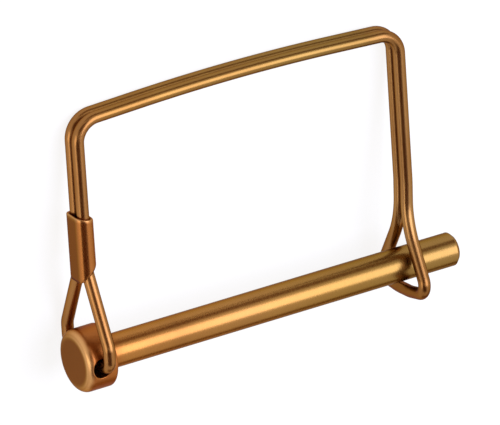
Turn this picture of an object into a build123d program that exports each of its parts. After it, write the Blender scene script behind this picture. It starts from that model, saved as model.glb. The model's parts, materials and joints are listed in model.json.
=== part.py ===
from build123d import *
import os
from math import atan2, cos, degrees, radians, sin, tan

# Wire lock pin: a headed pin whose square spring-wire bail turns in the head and snaps over the tip.
# Millimetres and degrees. The pin lies along +X with its shoulder at the origin. The bail lies beside it,
# towards +Y, and leans down until its top bar meets the surface that the splayed legs lie on.

# Pin
shank_d = 6.35
shank_l = 74.2
tip_chamfer = 0.7
head_d = 11.9
head_l = 6.1
head_edge_r = 1.5
shoulder_r = 0.6
hole_d = 3.7
hole_setback = 3.3
hole_chamfer = 0.2

# Wire, bent double: the bail is a rectangle, turned a little past square so that its loop hangs low
wire_d = 2.32
strand_gap = 0.1
bail_turn = 0.5
bail_h = 46.5
bar_rise = 1.15
bar_arc_share = 0.7
near_corner_r = 4.3
far_corner_r = 4.1

# Stubs in the head and legs that splay round it
play_share = 0.8
pull_angle = 25.0
leg_clearance = 0.5
stub_gap = 2.4
stub_bend_r = 1.9
elbow_rise = 4.3
elbow_r = 3.0
crotch_y = 17.9
crotch_r = 5.0

# Loop round the shank: bent by hand, its rear corner a little lower and wider than its front one
far_x = 64.5
sway_y = 17.0
sway_r = 30.0
flare_x = 64.15
flare_y = 9.0
flare_r = 16.0
loop_x = 63.6
loop_clearance = 0.87
bight_flat = 4.0
bight_rise = 0.9
bight_tilt = 4.6
bight_r = 12.0
loop_front_z = 8.3
loop_rear_z = 9.1
loop_corner_r = 2.2

# Crimped sleeve: its heights are on its long side, and both ends slope to its short side
sleeve_top_y = 28.4
sleeve_low_y = 15.6
top_slope = 0.7
low_slope = 3.5
sleeve_wall = 0.6
crimp_clearance = 0.04
mouth_chamfer = 0.2
rim_chamfer = 0.25

# How far cuts run past what they cut
overrun = 2.0

# Places that follow from the sizes, in the bail's plane: x along the pin, y out to the bar, z square to both
wire_r = wire_d / 2
strand_z = (wire_d + strand_gap) / 2
leg_z = head_d / 2 + wire_r + leg_clearance
pull = play_share * (hole_d - wire_d) / 2
pivot_x = pull * cos(radians(pull_angle)) - hole_setback
pivot_y = pull * sin(radians(pull_angle))
elbow_y = pivot_y + elbow_rise
turn = radians(bail_turn)
tilt = tan(radians(bight_tilt))
bight_y = loop_x * sin(turn) - shank_d / 2 - loop_clearance - wire_r
bar_half = (far_x - pivot_x) / 2
bar_arc = bar_arc_share * (bar_half - near_corner_r)
bar_peak = bar_rise / (1 - bar_arc / (2 * bar_half))
bar_r = bar_arc * bar_half / bar_peak
lean = atan2(leg_z - strand_z, bail_h + bar_rise - elbow_y)
bail = Plane(
    origin=(0, 0, 0),
    x_dir=(cos(turn), -sin(turn) * cos(lean), sin(turn) * sin(lean)),
    z_dir=(0, sin(lean), cos(lean)),
)


def in_bail(x, y, z):
    """A point given in the bail's plane."""
    return bail.from_local_coords(Vector(x, y, z))


# Pin: one turned piece, with the bail's cross hole through its head
with BuildPart() as pin:
    with BuildSketch(Plane.XY):
        with BuildLine():
            Polyline(
                (-head_l, 0),
                (-head_l, head_d / 2),
                (0, head_d / 2),
                (0, shank_d / 2),
                (shank_l - tip_chamfer, shank_d / 2),
                (shank_l, shank_d / 2 - tip_chamfer),
                (shank_l, 0),
                close=True,
            )
        make_face()
    revolve(axis=Axis.X)
    head_rims = pin.edges().filter_by(GeomType.CIRCLE).sort_by(SortBy.RADIUS)[-2:].sort_by(Axis.X)
    fillet(head_rims[0], head_edge_r)
    fillet(head_rims[-1], shoulder_r)
    with Locations(Plane(origin=(-hole_setback, 0, 0), x_dir=bail.x_dir, z_dir=bail.z_dir)):
        Hole(hole_d / 2)
    chamfer(pin.edges(Select.LAST).filter_by(GeomType.LINE, reverse=True), hole_chamfer)

pin.part.label = "pin"


def strand(side):
    """Corners of one strand, from the middle of the bight to its stub: side is 1 in front and -1 behind."""
    loop_z = loop_front_z if side > 0 else loop_rear_z
    return [
        in_bail(loop_x, bight_y, 0),
        in_bail(loop_x, bight_y + side * tilt * bight_flat / 2, side * bight_flat / 2),
        in_bail(loop_x, bight_y + bight_rise + side * tilt * loop_z, side * loop_z),
        in_bail(flare_x, flare_y, side * strand_z),
        in_bail(far_x, sway_y, side * strand_z),
        in_bail(far_x, bail_h, side * strand_z),
        in_bail(far_x - bar_half, bail_h + bar_peak, side * strand_z),
        in_bail(pivot_x, bail_h, side * strand_z),
        in_bail(pivot_x, crotch_y, side * strand_z),
        in_bail(pivot_x, elbow_y, side * leg_z),
        in_bail(pivot_x, pivot_y, side * leg_z),
        in_bail(pivot_x, pivot_y, side * stub_gap / 2),
    ]


# Bail: the front and the rear strand, each swept from the middle of the bight
bends = [
    bight_r,
    loop_corner_r,
    flare_r,
    sway_r,
    far_corner_r,
    bar_r,
    near_corner_r,
    crotch_r,
    elbow_r,
    stub_bend_r,
]

with BuildPart() as wire_bail:
    for side in (1, -1):
        with BuildLine():
            FilletPolyline(*strand(side), radius=bends)
        bight = Plane(origin=in_bail(loop_x, bight_y, 0), x_dir=bail.x_dir, z_dir=in_bail(0, side * tilt, side))
        with BuildSketch(bight):
            Circle(wire_r)
        sweep()

wire_bail.part.label = "wire_bail"

# Sleeve: a tube squeezed oval, both ends cut on a slope, its lower end opened by the splayed legs
bore_r = wire_r + crimp_clearance
lobe_r = bore_r + sleeve_wall
sleeve_l = sleeve_top_y - sleeve_low_y
sleeve_plane = Plane(origin=in_bail(pivot_x, sleeve_low_y, 0), x_dir=bail.x_dir, z_dir=bail.y_dir)
low_cut = Plane(
    origin=in_bail(pivot_x - lobe_r, sleeve_low_y, 0),
    x_dir=bail.z_dir,
    z_dir=in_bail(-low_slope, 2 * lobe_r, 0),
)
top_cut = Plane(
    origin=in_bail(pivot_x - lobe_r, sleeve_top_y, 0),
    x_dir=bail.z_dir,
    z_dir=in_bail(top_slope, 2 * lobe_r, 0),
)

with BuildPart() as crimp_sleeve:
    with BuildSketch(sleeve_plane):
        SlotCenterToCenter(2 * strand_z, 2 * lobe_r, rotation=90)
        offset(amount=-sleeve_wall, mode=Mode.SUBTRACT)
    extrude(amount=sleeve_l)
    split(bisect_by=low_cut, keep=Keep.TOP)
    split(bisect_by=top_cut, keep=Keep.BOTTOM)
    mouth = crimp_sleeve.faces().filter_by(top_cut)[0]
    chamfer(mouth.inner_wires()[0].edges(), mouth_chamfer)
    mouth = crimp_sleeve.faces().filter_by(top_cut)[0]
    chamfer(mouth.outer_wire().edges(), rim_chamfer)
    for side in (1, -1):
        with BuildLine():
            FilletPolyline(
                in_bail(pivot_x, sleeve_top_y - overrun, side * strand_z),
                in_bail(pivot_x, crotch_y, side * strand_z),
                in_bail(pivot_x, elbow_y, side * leg_z),
                radius=crotch_r,
            )
        with BuildSketch(
            Plane(
                origin=in_bail(pivot_x, sleeve_top_y - overrun, side * strand_z),
                x_dir=bail.x_dir,
                z_dir=-bail.y_dir,
            )
        ):
            Circle(bore_r)
        sweep(mode=Mode.SUBTRACT)

crimp_sleeve.part.label = "crimp_sleeve"

os.makedirs("parts", exist_ok=True)
export_step(pin.part, "parts/pin.step")
export_step(wire_bail.part, "parts/wire_bail.step")
export_step(crimp_sleeve.part, "parts/crimp_sleeve.step")
print("lean", degrees(lean), "pivot", in_bail(pivot_x, pivot_y, 0), "axis", bail.z_dir)
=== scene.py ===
import json
from math import asin, atan, atan2, cos, hypot, pi, radians, sin, sqrt, tan

import bmesh
import bpy
from mathutils import Matrix, Vector


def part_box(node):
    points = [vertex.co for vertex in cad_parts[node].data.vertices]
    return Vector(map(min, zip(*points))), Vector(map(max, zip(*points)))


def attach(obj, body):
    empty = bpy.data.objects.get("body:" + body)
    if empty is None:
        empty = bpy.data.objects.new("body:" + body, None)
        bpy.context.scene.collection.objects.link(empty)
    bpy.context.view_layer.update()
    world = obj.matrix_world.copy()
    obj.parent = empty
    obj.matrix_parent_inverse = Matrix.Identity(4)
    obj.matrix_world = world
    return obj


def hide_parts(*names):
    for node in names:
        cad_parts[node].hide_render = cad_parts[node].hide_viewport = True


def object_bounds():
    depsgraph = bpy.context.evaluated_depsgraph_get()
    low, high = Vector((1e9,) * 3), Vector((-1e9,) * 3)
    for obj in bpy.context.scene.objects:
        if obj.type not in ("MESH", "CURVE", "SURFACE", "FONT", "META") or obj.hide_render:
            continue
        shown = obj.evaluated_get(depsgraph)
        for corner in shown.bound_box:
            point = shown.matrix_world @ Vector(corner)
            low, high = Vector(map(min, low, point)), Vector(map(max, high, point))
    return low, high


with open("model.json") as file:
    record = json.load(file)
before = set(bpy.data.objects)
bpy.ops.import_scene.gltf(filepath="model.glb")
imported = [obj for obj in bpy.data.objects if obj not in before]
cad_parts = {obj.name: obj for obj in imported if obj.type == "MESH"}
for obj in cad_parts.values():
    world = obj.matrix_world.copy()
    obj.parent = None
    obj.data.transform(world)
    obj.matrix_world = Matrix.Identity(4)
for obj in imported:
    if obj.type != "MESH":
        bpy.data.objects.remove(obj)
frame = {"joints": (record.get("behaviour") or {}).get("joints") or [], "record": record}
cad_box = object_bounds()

# Wire lock pin: a turned pin, a square bail of doubled spring wire that turns in the pin's head, and a
# crimped sleeve that holds the wire's strands together. Metres and radians. Sizes that the frame holds are
# read from it, and the others repeat the part's own.
MM = 0.001

# Pin
pin_low, pin_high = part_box("pin")
head_l = -pin_low.x
head_r = pin_high.z
shank_l = pin_high.x
shank_r = frame["record"]["mounts"][0]["dims"]["r_mm"] * MM
head_edge_r = 1.5 * MM
shoulder_r = 0.6 * MM
neck_r = 0.15 * MM
tip_chamfer = 0.7 * MM
tip_edge_r = 0.25 * MM
hole_r = 1.85 * MM
hole_x = -3.3 * MM
hole_edge = 0.2 * MM

# Directions: the bail's plane is square to its hinge, and the bail is turned a little in it
hinge = frame["joints"][0]
pivot = Vector(hinge["pos_m"])
bail_z = Vector(hinge["axis"]).normalized()
lean = atan2(bail_z.y, bail_z.z)
bail_turn = radians(0.5)
bail_x = Vector((cos(bail_turn), -sin(bail_turn) * cos(lean), sin(bail_turn) * sin(lean)))
bail_y = bail_z.cross(bail_x)
pivot_x = pivot.dot(bail_x)
pivot_y = pivot.dot(bail_y)
along_pin = Vector((1, 0, 0))
across_pin = bail_z.cross(along_pin)

# Wire, bent double
wire_r = 1.16 * MM
strand_z = 1.21 * MM
bail_h = 46.5 * MM
bar_rise = 1.15 * MM
bar_arc_share = 0.7
near_corner_r = 4.3 * MM
far_corner_r = 4.1 * MM
leg_clearance = 0.5 * MM
leg_z = head_r + wire_r + leg_clearance
stub_end_z = 1.2 * MM
stub_bend_r = 1.9 * MM
elbow_rise = 4.3 * MM
elbow_y = pivot_y + elbow_rise
elbow_r = 3.0 * MM
crotch_y = 17.9 * MM
crotch_r = 5.0 * MM
leg_splay = atan((leg_z - strand_z) / (crotch_y - elbow_y))
crotch_top_y = crotch_y + crotch_r * tan(leg_splay / 2)
far_x = 64.5 * MM
sway_y = 17.0 * MM
sway_r = 30.0 * MM
flare_x = 64.15 * MM
flare_y = 9.0 * MM
flare_r = 16.0 * MM
loop_x = 63.6 * MM
loop_clearance = 0.87 * MM
bight_y = loop_x * sin(bail_turn) - shank_r - loop_clearance - wire_r
bight_half_flat = 2.0 * MM
bight_rise = 0.9 * MM
bight_tilt = radians(4.6)
bight_r = 12.0 * MM
loop_front_z = 8.3 * MM
loop_rear_z = 9.1 * MM
loop_corner_r = 2.2 * MM

# Crimped sleeve
sleeve_top_y = 28.4 * MM
sleeve_low_y = 15.6 * MM
top_slope = 0.7 * MM
low_slope = 3.5 * MM
sleeve_wall = 0.6 * MM
bore_clearance = 0.04 * MM
bore_r = wire_r + bore_clearance
lobe_r = bore_r + sleeve_wall
mouth_chamfer = 0.2 * MM
rim_r = 0.25 * MM
least_wall = 0.12 * MM

# How finely the pin is meshed, with a square patch of faces round each mouth of its hole
arc_steps = 10
patch_n = 20
patch_half_l = 2.45 * MM
patch_half_turn = radians(27)
gap_n = 28
mouth_ring_n = 6
hole_edge_n = 3
least_row_gap = 0.02 * MM
flat_ring = 0.4 * MM

# How finely the wire and the sleeve are meshed
wire_sides = 40
bend_steps = 24
lobe_n = 44
flat_n = 10
sleeve_row_n = 22
rim_turns = [radians(degrees) for degrees in (22, 45, 67, 90)]
exit_step = 0.02 * MM

# Pale edges of the pin, partly wear and partly painted highlight: place along it, radius, reach of the
# paling and its greatest strength. They are full on the side where the key lamp's highlight falls, a painted
# highlight, and less on the others.
rim_inset = head_edge_r * (1 - sin(radians(45)))
face_wear_and_highlight_inset = 0.975 * MM
face_wear_and_highlight = 0.7 * MM
rim_wear_and_highlight = 0.8 * MM
edge_wear_and_highlight = 0.4 * MM
wear_and_highlight_edges = [
    (-head_l, head_r - face_wear_and_highlight_inset, face_wear_and_highlight, 0.8),
    (rim_inset - head_l, head_r - rim_inset, rim_wear_and_highlight, 1.0),
    (0, head_r, edge_wear_and_highlight, 0.5),
    (shank_l - tip_chamfer, shank_r, edge_wear_and_highlight, 0.4),
    (shank_l, shank_r - tip_chamfer, edge_wear_and_highlight, 0.4),
]
highlight_side = radians(30)
all_round_wear_share = 0.6

# Painted shade on the wire, at its bends and deepest at the bight under the shank: place in the bail's
# plane, reach of the darkening and its greatest strength
painted_shade_bends = [
    (pivot_x, bail_h, 7 * MM, 0.5),
    (far_x, bail_h, 8 * MM, 0.9),
    (far_x, sway_y, 8 * MM, 0.4),
    (loop_x, bight_y, 18 * MM, 1.0),
    (pivot_x, elbow_y, 12 * MM, 0.2),
]

# Pale rim of the sleeve, partly wear and partly painted highlight: depth in its wall, height from its top,
# reach of the paling and greatest strength.
# The dark of the flats, partly the crimping tool's mark and partly painted shade, fades from the flats into
# the rounded sides.
sleeve_wear_and_highlight_rim = [(rim_r / 2, -rim_r / 2, rim_r, 0.8)]
flat_mark_and_shade_fade = 12


def in_bail(x, y, z):
    """A point given in the bail's plane: x along the pin, y out to the top bar, z square to both."""
    return bail_x * x + bail_y * y + bail_z * z


def on_pin(x, side, height):
    """A point given from the pin's axis: x along it, side across the hole, height along the hole."""
    return along_pin * x + across_pin * side + bail_z * height


def mark_strength(x, y, marks):
    """How strong some (x, y, reach, most) marks are at a point. Each fades out over its reach."""
    return max(most * max(0, 1 - hypot(x - at_x, y - at_y) / reach) for at_x, at_y, reach, most in marks)


def add(tree, kind, inputs=None, **settings):
    """Adds a node with its settings and its inputs, by socket name or number: values, or sockets to link."""
    made = tree.nodes.new(kind)
    for name, value in settings.items():
        setattr(made, name, value)
    for name, value in (inputs or {}).items():
        if isinstance(value, bpy.types.NodeSocket):
            tree.links.new(value, made.inputs[name])
        else:
            made.inputs[name].default_value = value
    return made


def linear(hex_colour):
    """An sRGB hex colour as linear RGBA."""
    shares = [int(hex_colour[i : i + 2], 16) / 255 for i in (1, 3, 5)]
    return (*[c / 12.92 if c <= 0.04045 else ((c + 0.055) / 1.055) ** 2.4 for c in shares], 1.0)


def new_material(name):
    """An empty node material, with its tree and its output node."""
    material = bpy.data.materials.new(name)
    material.use_nodes = True
    material.node_tree.nodes.clear()
    return material, material.node_tree, add(material.node_tree, "ShaderNodeOutputMaterial")


def new_piece(name, mesh, material):
    """A smooth-shaded object for a finished mesh."""
    piece = bpy.data.objects.new(name, mesh)
    bpy.context.scene.collection.objects.link(piece)
    mesh.materials.clear()
    mesh.materials.append(material)
    mesh.shade_smooth()
    return piece


def join_rings(bm, ring, other):
    """A band of faces between two closed rings of as many points."""
    for k in range(len(ring)):
        bm.faces.new((ring[k - 1], ring[k], other[k], other[k - 1]))


def finished_mesh(bm, name):
    """The mesh of a finished shape, with its faces turned outwards."""
    bmesh.ops.recalc_face_normals(bm, faces=bm.faces)
    mesh = bpy.data.meshes.new(name)
    bm.to_mesh(mesh)
    bm.free()
    return mesh


# Plating, the same on all three pieces: zinc with a bronze-gold passivation under a thin clear sealer.
# Clouds in the passivation, the tones of pressed places and painted shade, of worn places and painted
# highlights, and the depth of the working marks.
cloud_size = 9 * MM
cloud_detail = 3.0
cloud_start = 0.45
cloud_full = 0.75
cloud_most = 0.3
cloud_tone = "#7c4a20"
pressed_and_shade_tone = "#825324"
wear_and_highlight_tone = "#d9a468"
grazing_tone = "#a8957f"
sealer_weight = 0.12
sealer_roughness = 0.22
marks_detail = 2.0
marks_low = 0.3
marks_high = 0.7
marks_gloss = 0.015
marks_depth = 0.004 * MM
marks_strength = 0.03


def passivated_zinc(name, tones, marks_vector, marks_size):
    """Satin plating whose colour and gloss change along the part, given as (x, colour, roughness) tones.
    It darkens in soft clouds, on pressed places and in painted shade, pales on worn edges and painted
    highlights, and has fine working marks."""
    material, tree, output = new_material(name)
    place = add(tree, "ShaderNodeTexCoord").outputs["Object"]
    along = add(tree, "ShaderNodeSeparateXYZ", {0: place}).outputs["X"]
    share = add(tree, "ShaderNodeMapRange", {"Value": along, "From Min": -head_l, "From Max": shank_l})
    ramp = add(tree, "ShaderNodeValToRGB", {"Fac": share.outputs["Result"]})
    stops = ramp.color_ramp.elements
    while len(stops) < len(tones):
        stops.new(0)
    for stop, (x, colour, roughness) in zip(stops, tones):
        stop.position = (x + head_l) / (head_l + shank_l)
        stop.color = (*linear(colour)[:3], roughness)
    noise = add(
        tree, "ShaderNodeTexNoise", {"Vector": place, "Scale": 1 / cloud_size, "Detail": cloud_detail}
    ).outputs["Fac"]
    cloud = add(
        tree,
        "ShaderNodeMapRange",
        {"Value": noise, "From Min": cloud_start, "From Max": cloud_full, "To Max": cloud_most},
    ).outputs["Result"]
    pressed_and_shade = add(tree, "ShaderNodeAttribute", attribute_name="pressed_and_shade").outputs["Fac"]
    wear_and_highlight = add(tree, "ShaderNodeAttribute", attribute_name="wear_and_highlight").outputs["Fac"]
    colour = ramp.outputs["Color"]
    # Sockets 6 and 7 of the Mix node are its two colours, and its output 2 is their mix
    # The second tone darkens pressed places and painted shade, the third pales worn edges and painted
    # highlights
    for amount, tone in ((cloud, cloud_tone), (pressed_and_shade, pressed_and_shade_tone), (wear_and_highlight, wear_and_highlight_tone)):
        mixed = add(tree, "ShaderNodeMix", {0: amount, 6: colour, 7: linear(tone)}, data_type="RGBA")
        colour = mixed.outputs[2]
    marks = add(
        tree,
        "ShaderNodeTexNoise",
        {"Vector": marks_vector(tree), "Scale": 1 / marks_size, "Detail": marks_detail},
    ).outputs["Fac"]
    ripple = add(
        tree,
        "ShaderNodeMapRange",
        {
            "Value": marks,
            "From Min": marks_low,
            "From Max": marks_high,
            "To Min": -marks_gloss,
            "To Max": marks_gloss,
        },
    ).outputs["Result"]
    gloss = add(tree, "ShaderNodeMath", {0: ramp.outputs["Alpha"], 1: ripple}, operation="ADD")
    bump = add(
        tree, "ShaderNodeBump", {"Height": marks, "Strength": marks_strength, "Distance": marks_depth}
    )
    shader = add(
        tree,
        "ShaderNodeBsdfPrincipled",
        {
            "Base Color": colour,
            "Metallic": 1.0,
            "Roughness": gloss.outputs["Value"],
            "Normal": bump.outputs["Normal"],
            "Specular Tint": linear(grazing_tone),
            "Coat Weight": sealer_weight,
            "Coat Roughness": sealer_roughness,
        },
    )
    tree.links.new(shader.outputs["BSDF"], output.inputs["Surface"])
    return material


# Turned steel, zinc plated and passivated. It gives the eye a satin gold, redder and duller on the head and
# olive towards the tip, with pale rims that are partly wear and partly painted highlight, and fine rings
# round the pin. Lathe marks lie about 0.05 mm apart, and are drawn 0.25 mm apart so that they show.
lathe_marks_size = 0.25 * MM
lathe_marks_stretch = 0.04
pin_tones = [
    (-head_l, "#a4602a", 0.36),
    (0, "#a4602a", 0.36),
    (3 * MM, "#aa7034", 0.27),
    (28 * MM, "#9d6d33", 0.27),
    (50 * MM, "#825f1c", 0.27),
    (shank_l, "#67500a", 0.27),
]


def lathe_marks(tree):
    """Lathe marks run round the pin, so the pattern is stretched across its axis."""
    place = add(tree, "ShaderNodeTexCoord").outputs["Object"]
    scale = (1.0, lathe_marks_stretch, lathe_marks_stretch)
    return add(tree, "ShaderNodeMapping", {"Vector": place, "Scale": scale}).outputs["Vector"]


# Drawn spring wire, zinc plated and passivated. It gives the eye a smooth brown gold with streaks along the
# wire, darker and redder at its bends in painted shade. Die marks are about 0.03 mm wide, and are drawn 0.2
# mm wide so that they show.
die_marks_size = 0.2 * MM
die_marks_stretch = 0.03
wire_tones = [
    (-1.5 * MM, "#9f6d3b", 0.28),
    (4 * MM, "#966a32", 0.28),
    (58 * MM, "#8b6c36", 0.28),
    (62.5 * MM, "#a77b48", 0.28),
]


def die_marks(tree):
    """Die marks run along the wire, so the pattern is stretched along its own run."""
    run = add(tree, "ShaderNodeAttribute", attribute_name="wire_run").outputs["Vector"]
    scale = (die_marks_stretch, 1.0, 1.0)
    return add(tree, "ShaderNodeMapping", {"Vector": run, "Scale": scale}).outputs["Vector"]


# Drawn steel tube, crimped, zinc plated and passivated. It gives the eye a coppery brown, darker on the
# flats in painted shade that is partly the crimping tool's mark, and pale on the cut rim, partly wear and
# partly painted highlight. Draw marks are about 0.05 mm wide, and are drawn 0.25 mm wide so that they show.
tube_marks_size = 0.25 * MM
tube_marks_stretch = 0.05
sleeve_tones = [(-head_l, "#a4642e", 0.28), (0, "#a4642e", 0.28)]


def tube_marks(tree):
    """Draw marks run along the sleeve, so the pattern is stretched along Y, which is close to its length."""
    place = add(tree, "ShaderNodeTexCoord").outputs["Object"]
    scale = (1.0, tube_marks_stretch, 1.0)
    return add(tree, "ShaderNodeMapping", {"Vector": place, "Scale": scale}).outputs["Vector"]


pin_finish = passivated_zinc("passivated_zinc_on_turned_steel", pin_tones, lathe_marks, lathe_marks_size)
wire_finish = passivated_zinc("passivated_zinc_on_drawn_spring_wire", wire_tones, die_marks, die_marks_size)
sleeve_finish = passivated_zinc("passivated_zinc_on_crimped_tube", sleeve_tones, tube_marks, tube_marks_size)


# Pin
def rounded(corners):
    """The points of a profile, from (x, r, rounding) corners, with each rounded corner drawn as an arc."""
    points = [Vector(corners[0][:2])]
    for before, corner, after in zip(corners, corners[1:], corners[2:]):
        at = Vector(corner[:2])
        rounding = corner[2]
        back = (Vector(before[:2]) - at).normalized()
        ahead = (Vector(after[:2]) - at).normalized()
        half = back.angle(ahead) / 2
        centre = at + (back + ahead).normalized() * (rounding / sin(half))
        start = at + back * (rounding / tan(half)) - centre
        end = at + ahead * (rounding / tan(half)) - centre
        turn = start.angle_signed(end)
        points += [centre + Matrix.Rotation(-turn * i / arc_steps, 2) @ start for i in range(arc_steps + 1)]
    return points + [Vector(corners[-1][:2])]


def head_radius(x):
    """Radius of the head at a place along it, with its rounded rim."""
    into_rim = max(head_edge_r - head_l - x, 0)
    return head_r - head_edge_r + sqrt(head_edge_r**2 - into_rim**2)


def pin_rows():
    """The pin's rings as (x, r), from head to tip, and the number of the first that crosses a patch."""
    profile = rounded(
        [
            (-head_l, 0, 0),
            (-head_l, head_r, head_edge_r),
            (0, head_r, shoulder_r),
            (0, shank_r, neck_r),
            (shank_l - tip_chamfer, shank_r, tip_edge_r),
            (shank_l, shank_r - tip_chamfer, tip_edge_r),
            (shank_l, 0, 0),
        ]
    )[1:-1]
    patch_xs = [hole_x + patch_half_l * (2 * i / patch_n - 1) for i in range(patch_n + 1)]
    rows = [(-head_l, profile[0].y - flat_ring)]
    rows += [(p.x, p.y) for p in profile if p.x < patch_xs[0] - least_row_gap]
    first = len(rows)
    rows += [(x, head_radius(x)) for x in patch_xs]
    rows += [(p.x, p.y) for p in profile if p.x > patch_xs[-1] + least_row_gap]
    rows.append((shank_l, profile[-1].y - flat_ring))
    return rows, first


def patch_border():
    """Places round the border of a patch, as (row, column)."""
    border = [(0, j) for j in range(patch_n)] + [(i, patch_n) for i in range(patch_n)]
    border += [(patch_n, j) for j in range(patch_n, 0, -1)] + [(i, 0) for i in range(patch_n, 0, -1)]
    return border


def hole_mouth(bm, border_ring, outward):
    """Rings of faces from a patch's border in to the hole's wall, over its rounded edge. Outward is 1 or -1,
    for the side that the mouth is on. Returns the last ring."""
    mouth_r = hole_r + hole_edge
    shares = [(2 * i / patch_n - 1, 2 * j / patch_n - 1) for i, j in patch_border()]
    turns = [atan2(v, u) for u, v in shares]
    rings = [border_ring]
    for n in range(1, mouth_ring_n + 1):
        ring = []
        for (u, v), turn in zip(shares, turns):
            mouth_x = hole_x + mouth_r * cos(turn)
            mouth_turn = asin(mouth_r * sin(turn) / head_radius(mouth_x))
            border_x = hole_x + patch_half_l * u
            border_turn = patch_half_turn * v
            x = border_x + (mouth_x - border_x) * n / mouth_ring_n
            around = border_turn + (mouth_turn - border_turn) * n / mouth_ring_n
            r = outward * head_radius(x)
            ring.append(bm.verts.new(on_pin(x, r * sin(around), r * cos(around))))
        rings.append(ring)
    for n in range(1, hole_edge_n + 1):
        sink = pi / 2 * n / hole_edge_n
        wide = hole_r + hole_edge * (1 - sin(sink))
        deep = hole_edge * (1 - cos(sink))
        ring = []
        for turn in turns:
            x = hole_x + wide * cos(turn)
            side = wide * sin(turn)
            height = sqrt(head_radius(x) ** 2 - side**2) - deep
            ring.append(bm.verts.new(on_pin(x, outward * side, outward * height)))
        rings.append(ring)
    for outer, inner in zip(rings, rings[1:]):
        join_rings(bm, outer, inner)
    return rings[-1]


def pin_mesh():
    """Turned profile with a cross hole: a grid round the axis, with rings round the hole's mouths."""
    rows, first = pin_rows()
    turns = [patch_half_turn * (2 * j / patch_n - 1) for j in range(patch_n)]
    turns += [patch_half_turn + (pi - 2 * patch_half_turn) * j / gap_n for j in range(gap_n)]
    half_round = len(turns)
    turns += [turn + pi for turn in turns]
    bm = bmesh.new()
    grid = {}
    for i, (x, r) in enumerate(rows):
        for j, turn in enumerate(turns):
            inside_patch = first < i < first + patch_n and 0 < j % half_round < patch_n
            if not inside_patch:
                grid[i, j] = bm.verts.new(on_pin(x, r * sin(turn), r * cos(turn)))
    for i in range(len(rows) - 1):
        for j in range(len(turns)):
            k = (j + 1) % len(turns)
            on_patch = first <= i < first + patch_n and j % half_round < patch_n
            if not on_patch:
                bm.faces.new((grid[i, j], grid[i, k], grid[i + 1, k], grid[i + 1, j]))
    for i, x in ((0, -head_l), (len(rows) - 1, shank_l)):
        end_centre = bm.verts.new((x, 0, 0))
        for j in range(len(turns)):
            bm.faces.new((grid[i, j], grid[i, (j + 1) % len(turns)], end_centre))

    border = patch_border()
    top, bottom = [
        hole_mouth(bm, [grid[first + i, start + j] for i, j in border], outward)
        for start, outward in ((0, 1), (half_round, -1))
    ]
    join_rings(bm, top, [bottom[border.index((i, patch_n - j))] for i, j in border])

    wear_and_highlight = bm.verts.layers.float.new("wear_and_highlight")
    pressed_and_shade = bm.verts.layers.float.new("pressed_and_shade")
    for v in bm.verts:
        around = atan2(v.co.dot(across_pin), v.co.dot(bail_z))
        # Pale edges: wear all round, with a painted highlight added on the lit side
        wear_and_highlight_factor = all_round_wear_share + (1 - all_round_wear_share) * cos(around - highlight_side)
        v[wear_and_highlight] = wear_and_highlight_factor * mark_strength(v.co.x, hypot(v.co.y, v.co.z), wear_and_highlight_edges)
        # The head's end face takes the pressed tone: painted shade
        v[pressed_and_shade] = max(0, 1 - (v.co.x + head_l) / rim_inset)
    return finished_mesh(bm, "turned_pin")


# Wire
def wire_tree():
    """Bends a polyline's corners to their own radii and sweeps a round section along it."""
    tree = bpy.data.node_groups.new("bent_wire", "GeometryNodeTree")
    tree.interface.new_socket("Geometry", in_out="INPUT", socket_type="NodeSocketGeometry")
    for name, kind in (
        ("Wire radius", "NodeSocketFloat"),
        ("Sides", "NodeSocketInt"),
        ("Bend steps", "NodeSocketInt"),
        ("Finish", "NodeSocketMaterial"),
    ):
        tree.interface.new_socket(name, in_out="INPUT", socket_type=kind)
    tree.interface.new_socket("Geometry", in_out="OUTPUT", socket_type="NodeSocketGeometry")
    given = add(tree, "NodeGroupInput").outputs
    bend = add(tree, "GeometryNodeInputNamedAttribute", {"Name": "bend_r"}, data_type="FLOAT")
    route = add(tree, "GeometryNodeMeshToCurve", {"Mesh": given["Geometry"]})
    bent = add(
        tree,
        "GeometryNodeFilletCurve",
        {"Curve": route.outputs["Curve"], "Count": given["Bend steps"], "Radius": bend.outputs["Attribute"]},
        mode="POLY",
    )
    rail = add(tree, "GeometryNodeCaptureAttribute", {"Geometry": bent.outputs["Curve"]})
    rail.capture_items.new("FLOAT", "Length")
    tree.links.new(add(tree, "GeometryNodeSplineParameter").outputs["Length"], rail.inputs["Length"])
    circle = add(
        tree,
        "GeometryNodeCurvePrimitiveCircle",
        {"Resolution": given["Sides"], "Radius": given["Wire radius"]},
    )
    section = add(tree, "GeometryNodeCaptureAttribute", {"Geometry": circle.outputs["Curve"]})
    section.capture_items.new("VECTOR", "Position")
    tree.links.new(add(tree, "GeometryNodeInputPosition").outputs["Position"], section.inputs["Position"])
    swept = add(
        tree,
        "GeometryNodeCurveToMesh",
        {"Curve": rail.outputs["Geometry"], "Profile Curve": section.outputs["Geometry"], "Fill Caps": True},
    )
    around = add(tree, "ShaderNodeSeparateXYZ", {0: section.outputs["Position"]}).outputs
    run = add(tree, "ShaderNodeCombineXYZ", {0: rail.outputs["Length"], 1: around["X"], 2: around["Y"]})
    marked = add(
        tree,
        "GeometryNodeStoreNamedAttribute",
        {"Geometry": swept.outputs["Mesh"], "Name": "wire_run"},
        data_type="FLOAT_VECTOR",
        domain="POINT",
    )
    tree.links.new(run.outputs["Vector"], marked.inputs["Value"])
    real = add(tree, "GeometryNodeRealizeInstances", {"Geometry": marked.outputs["Geometry"]})
    plated = add(
        tree,
        "GeometryNodeSetMaterial",
        {"Geometry": real.outputs["Geometry"], "Material": given["Finish"]},
    )
    add(tree, "NodeGroupOutput", {"Geometry": plated.outputs["Geometry"]})
    return tree


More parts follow.
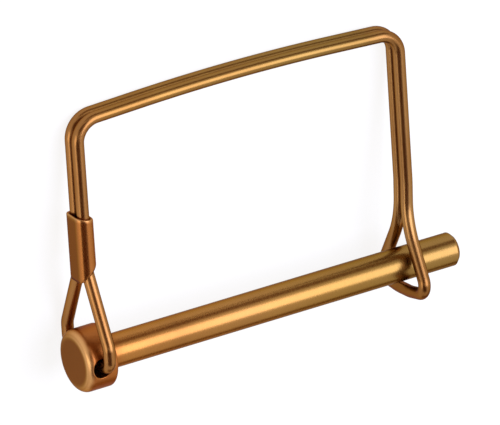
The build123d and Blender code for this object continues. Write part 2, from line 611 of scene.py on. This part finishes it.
def wire_route():
    """Corners of the wire in the bail's plane, each with its bend radius: the rear strand from its stub to
    the loop, then the front strand from the loop to its own stub."""
    bar_half = (far_x - pivot_x) / 2
    bar_arc = bar_arc_share * (bar_half - near_corner_r)
    bar_peak = bar_rise / (1 - bar_arc / (2 * bar_half))

    def strand(side):
        tilt = side * tan(bight_tilt)
        loop_z = loop_front_z if side > 0 else loop_rear_z
        return [
            (loop_x, bight_y + tilt * bight_half_flat, side * bight_half_flat, bight_r),
            (loop_x, bight_y + bight_rise + tilt * loop_z, side * loop_z, loop_corner_r),
            (flare_x, flare_y, side * strand_z, flare_r),
            (far_x, sway_y, side * strand_z, sway_r),
            (far_x, bail_h, side * strand_z, far_corner_r),
            (far_x - bar_half, bail_h + bar_peak, side * strand_z, bar_arc * bar_half / bar_peak),
            (pivot_x, bail_h, side * strand_z, near_corner_r),
            (pivot_x, crotch_y, side * strand_z, crotch_r),
            (pivot_x, elbow_y, side * leg_z, elbow_r),
            (pivot_x, pivot_y, side * leg_z, stub_bend_r),
            (pivot_x, pivot_y, side * stub_end_z, 0),
        ]

    return strand(-1)[::-1] + strand(1)


def wire_mesh():
    """The bail's wire, swept along its bent route, with painted shade at its bends."""
    route = wire_route()
    line = bpy.data.meshes.new("wire_route")
    runs = [(i, i + 1) for i in range(len(route) - 1)]
    line.from_pydata([in_bail(x, y, z) for x, y, z, r in route], runs, [])
    line.attributes.new("bend_r", "FLOAT", "POINT").data.foreach_set("value", [r for x, y, z, r in route])
    holder = bpy.data.objects.new("wire_route", line)
    bpy.context.scene.collection.objects.link(holder)
    modifier = holder.modifiers.new("bent_wire", "NODES")
    modifier.node_group = wire_tree()
    sizes = {"Wire radius": wire_r, "Sides": wire_sides, "Bend steps": bend_steps, "Finish": wire_finish}
    for item in modifier.node_group.interface.items_tree:
        if item.in_out == "INPUT" and item.name in sizes:
            modifier[item.identifier] = sizes[item.name]
    graph = bpy.context.evaluated_depsgraph_get()
    mesh = bpy.data.meshes.new_from_object(holder.evaluated_get(graph))
    bpy.data.objects.remove(holder)
    mesh.name = "bent_wire"
    # Painted shade at the bends, deepest at the bight under the shank
    pressed_and_shade = mesh.attributes.new("pressed_and_shade", "FLOAT", "POINT")
    for point, darkened in zip(mesh.vertices, pressed_and_shade.data):
        darkened.value = mark_strength(point.co.dot(bail_x), point.co.dot(bail_y), painted_shade_bends)
    return mesh


# Sleeve
def sleeve_outline():
    """Points of the squeezed oval: middle z, outward x and z, and side, which is 0 on the flats."""
    outline = []
    for side in (1, -1):
        sweep = [pi * i / lobe_n for i in range(lobe_n)]
        outline += [(side * strand_z, side * cos(a), side * sin(a), side) for a in sweep]
        flat = [strand_z * (1 - 2 * i / flat_n) for i in range(flat_n)]
        outline += [(side * z, -side, 0, 0) for z in flat]
    return outline


def leg_shift(y):
    """How far a leg has moved out from its strand at a height."""
    fall = crotch_top_y - y
    if fall <= 0:
        return 0
    if fall < crotch_r * sin(leg_splay):
        return crotch_r - sqrt(crotch_r**2 - fall**2)
    return (crotch_y - y) * tan(leg_splay)


def exit_height(x, side, z):
    """Height at which a leg breaks out through the wall, where it does, and otherwise 0."""
    if not side or abs(x) >= bore_r or side * z < strand_z:
        return 0
    room = side * z - least_wall - strand_z - sqrt(bore_r**2 - x**2) / cos(leg_splay)
    y = crotch_top_y
    while leg_shift(y) < room and y > sleeve_low_y:
        y -= exit_step
    return y


def wall_section(low, top):
    """Once round the wall's section, as (depth, y): up the outside, over the rim and down the bore."""
    heights = [low + (top - rim_r - low) * i / sleeve_row_n for i in range(sleeve_row_n + 1)]
    rim = [(rim_r * (1 - cos(turn)), top - rim_r * (1 - sin(turn))) for turn in rim_turns]
    mouth = [(sleeve_wall - mouth_chamfer, top), (sleeve_wall, top - mouth_chamfer)]
    bore = [(sleeve_wall, y) for y in reversed(heights[:-1])]
    return [(0, y) for y in heights] + rim + mouth + bore


def sleeve_mesh():
    """Tube squeezed oval, both ends cut on a slope and the lower one opened where the legs leave it."""
    bm = bmesh.new()
    wear_and_highlight = bm.verts.layers.float.new("wear_and_highlight")
    pressed_and_shade = bm.verts.layers.float.new("pressed_and_shade")
    columns = []
    for middle_z, out_x, out_z, side in sleeve_outline():
        x = lobe_r * out_x
        z = middle_z + lobe_r * out_z
        cut_share = (x + lobe_r) / (2 * lobe_r)
        low = max(sleeve_low_y + low_slope * cut_share, exit_height(x, side, z))
        top = sleeve_top_y - top_slope * cut_share
        column = []
        for depth, y in wall_section(low, top):
            at_x = (lobe_r - depth) * out_x
            at_z = middle_z + (lobe_r - depth) * out_z
            if side and depth > 0 and abs(at_x) < bore_r and side * at_z >= strand_z:
                bore_lean = leg_splay if y < crotch_y else 0
                leg_side = strand_z + leg_shift(y) + sqrt(bore_r**2 - at_x**2) / cos(bore_lean)
                at_z = side * max(side * at_z, min(leg_side, side * z - least_wall / 2))
            v = bm.verts.new(in_bail(pivot_x + at_x, y, at_z))
            # Pale cut rim: partly wear, partly painted highlight
            v[wear_and_highlight] = mark_strength(depth, y - top, sleeve_wear_and_highlight_rim)
            # Flats darkened: partly the crimp mark, partly painted shade
            v[pressed_and_shade] = max(0, 1 - flat_mark_and_shade_fade * (1 - abs(out_x)))
            column.append(v)
        columns.append(column)
    for i, column in enumerate(columns):
        join_rings(bm, columns[i - 1], column)
    return finished_mesh(bm, "crimped_sleeve")


turned_pin = new_piece("turned_pin", pin_mesh(), pin_finish)
bent_wire = new_piece("bent_wire", wire_mesh(), wire_finish)
crimped_sleeve = new_piece("crimped_sleeve", sleeve_mesh(), sleeve_finish)
for piece, body, node, slot in (
    (turned_pin, "pin", "pin", "pin_plating"),
    (bent_wire, "bail", "wire_bail", "wire_plating"),
    (crimped_sleeve, "bail", "crimp_sleeve", "sleeve_plating"),
):
    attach(piece, body)
    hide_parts(node)


# Studio
centre = (cad_box[0] + cad_box[1]) / 2
floor_size = 6.0
floor_grey = 0.25
floor_glow = 0.85
fill_light = 0.5

# The photograph's view, fitted to the object's outline in it
photo_width_px = 500
photo_px_per_mm = 5.512
view_azimuth = radians(28.756)
view_elevation = radians(23.656)
view_roll = radians(-4.168)
view_distance = 2.2
aim_right = 26.586 * MM
aim_up = 25.521 * MM
aim_back = -6.6 * MM
sensor_width_mm = 36
clip_distance = 10


def seen_rays(tree):
    """1 for rays that show the background: straight to the camera, off metal or through glass."""
    rays = add(tree, "ShaderNodeLightPath").outputs
    seen = rays["Is Camera Ray"]
    for kind in ("Is Glossy Ray", "Is Transmission Ray"):
        seen = add(tree, "ShaderNodeMath", {0: seen, 1: rays[kind]}, operation="MAXIMUM").outputs["Value"]
    return seen


def rectangle(width, height):
    """Corners of a flat rectangle about the origin."""
    return [Vector((x * width / 2, y * height / 2, 0)) for x, y in ((-1, -1), (1, -1), (1, 1), (-1, 1))]


def studio_floor():
    """Matt pale floor. It gives the eye a plain white that keeps a faint shadow."""
    material, tree, output = new_material("matt_pale_floor")
    matt = add(tree, "ShaderNodeBsdfDiffuse", {"Color": (floor_grey, floor_grey, floor_grey, 1.0)})
    strength = add(tree, "ShaderNodeMath", {0: seen_rays(tree), 1: floor_glow}, operation="MULTIPLY")
    glow = add(tree, "ShaderNodeEmission", {"Strength": strength.outputs["Value"]})
    both = add(tree, "ShaderNodeAddShader", {0: matt.outputs["BSDF"], 1: glow.outputs["Emission"]})
    tree.links.new(both.outputs["Shader"], output.inputs["Surface"])
    mesh = bpy.data.meshes.new("floor")
    mesh.from_pydata(rectangle(floor_size, floor_size), [], [(0, 1, 2, 3)])
    mesh.materials.append(material)
    floor = bpy.data.objects.new("floor", mesh)
    floor.location.z = cad_box[0].z
    bpy.context.scene.collection.objects.link(floor)


def studio_world():
    """White surroundings for what the camera and the metal see, and a lower fill for the floor."""
    world = bpy.data.worlds.new("studio")
    bpy.context.scene.world = world
    world.use_nodes = True
    tree = world.node_tree
    tree.nodes.clear()
    strength = add(
        tree,
        "ShaderNodeMath",
        {0: seen_rays(tree), 1: 1 - fill_light, 2: fill_light},
        operation="MULTIPLY_ADD",
    )
    white = add(tree, "ShaderNodeBackground", {"Color": (1, 1, 1, 1), "Strength": strength.outputs["Value"]})
    add(tree, "ShaderNodeOutputWorld", {"Surface": white.outputs["Background"]})


def facing(towards, distance):
    """Where a lamp or card stands that faces the object from one side, its width kept along the pin."""
    out = Vector(towards).normalized()
    along = (along_pin - out * out.x).normalized()
    place = Matrix((along, out.cross(along), out)).transposed().to_4x4()
    place.translation = centre + out * distance
    return place


def softbox(name, towards, distance, width, height, power, shade):
    """A soft rectangular lamp that faces the object."""
    lamp = bpy.data.lights.new(name, "AREA")
    lamp.shape = "RECTANGLE"
    lamp.size = width
    lamp.size_y = height
    lamp.energy = power
    lamp.color = linear(shade)[:3]
    holder = bpy.data.objects.new(name, lamp)
    holder.matrix_world = facing(towards, distance)
    bpy.context.scene.collection.objects.link(holder)


def tinted_card(name, towards, distance, width, height, shade):
    """A matt tinted card out of view, which the metal mirrors as a darker band."""
    material, tree, output = new_material(name)
    matt = add(tree, "ShaderNodeBsdfDiffuse", {"Color": linear(shade)})
    tree.links.new(matt.outputs["BSDF"], output.inputs["Surface"])
    place = facing(towards, distance)
    mesh = bpy.data.meshes.new(name)
    mesh.from_pydata([place @ corner for corner in rectangle(width, height)], [], [(0, 1, 2, 3)])
    mesh.materials.append(material)
    card = bpy.data.objects.new(name, mesh)
    card.visible_camera = False
    bpy.context.scene.collection.objects.link(card)


def photo_camera():
    """The photograph's view through a long lens, with angles from the pin's axis and the bail's plane."""
    level_share = cos(view_elevation)
    back = on_pin(-sin(view_azimuth) * level_share, sin(view_elevation), cos(view_azimuth) * level_share)
    level = on_pin(cos(view_azimuth), 0, sin(view_azimuth))
    rise = back.cross(level)
    right = level * cos(view_roll) + rise * sin(view_roll)
    up = rise * cos(view_roll) - level * sin(view_roll)
    frame_width = photo_width_px / photo_px_per_mm * MM
    camera = bpy.data.cameras.new("photo_camera")
    camera.sensor_width = sensor_width_mm
    camera.lens = sensor_width_mm * view_distance / frame_width
    camera.clip_end = clip_distance
    holder = bpy.data.objects.new("photo_camera", camera)
    place = Matrix((right, up, back)).transposed().to_4x4()
    place.translation = right * aim_right + up * aim_up + back * (aim_back + view_distance)
    holder.matrix_world = place
    bpy.context.scene.collection.objects.link(holder)
    bpy.context.scene.camera = holder


# The key lamp gives the bright band along the shank and the bar, the left lamp the pale edges of the upright
# wires, and the cards the darker bands between them.
studio_floor()
studio_world()
softbox("key_softbox", (0.33, 0.29, 0.9), distance=0.9, width=0.72, height=0.72, power=6.8, shade="#d9e1ff")
softbox(
    "left_softbox", (-0.97, -0.03, 0.14), distance=0.9, width=0.75, height=0.45, power=1.9, shade="#ffffff"
)
tinted_card("overhead_card", (-0.42, -0.33, 0.84), distance=1.2, width=1.6, height=0.95, shade="#a46040")
tinted_card("camera_side_card", (-0.44, 0.51, 0.74), distance=2.7, width=2.4, height=1.8, shade="#d8a080")
tinted_card("far_side_card", (0.3, 0.95, 0.15), distance=1.5, width=2.4, height=0.8, shade="#f4c4a0")
tinted_card("near_side_card", (0.3, -0.95, 0.12), distance=1.5, width=2.4, height=0.7, shade="#f0b890")
photo_camera()
bpy.context.scene.view_settings.view_transform = "Standard"
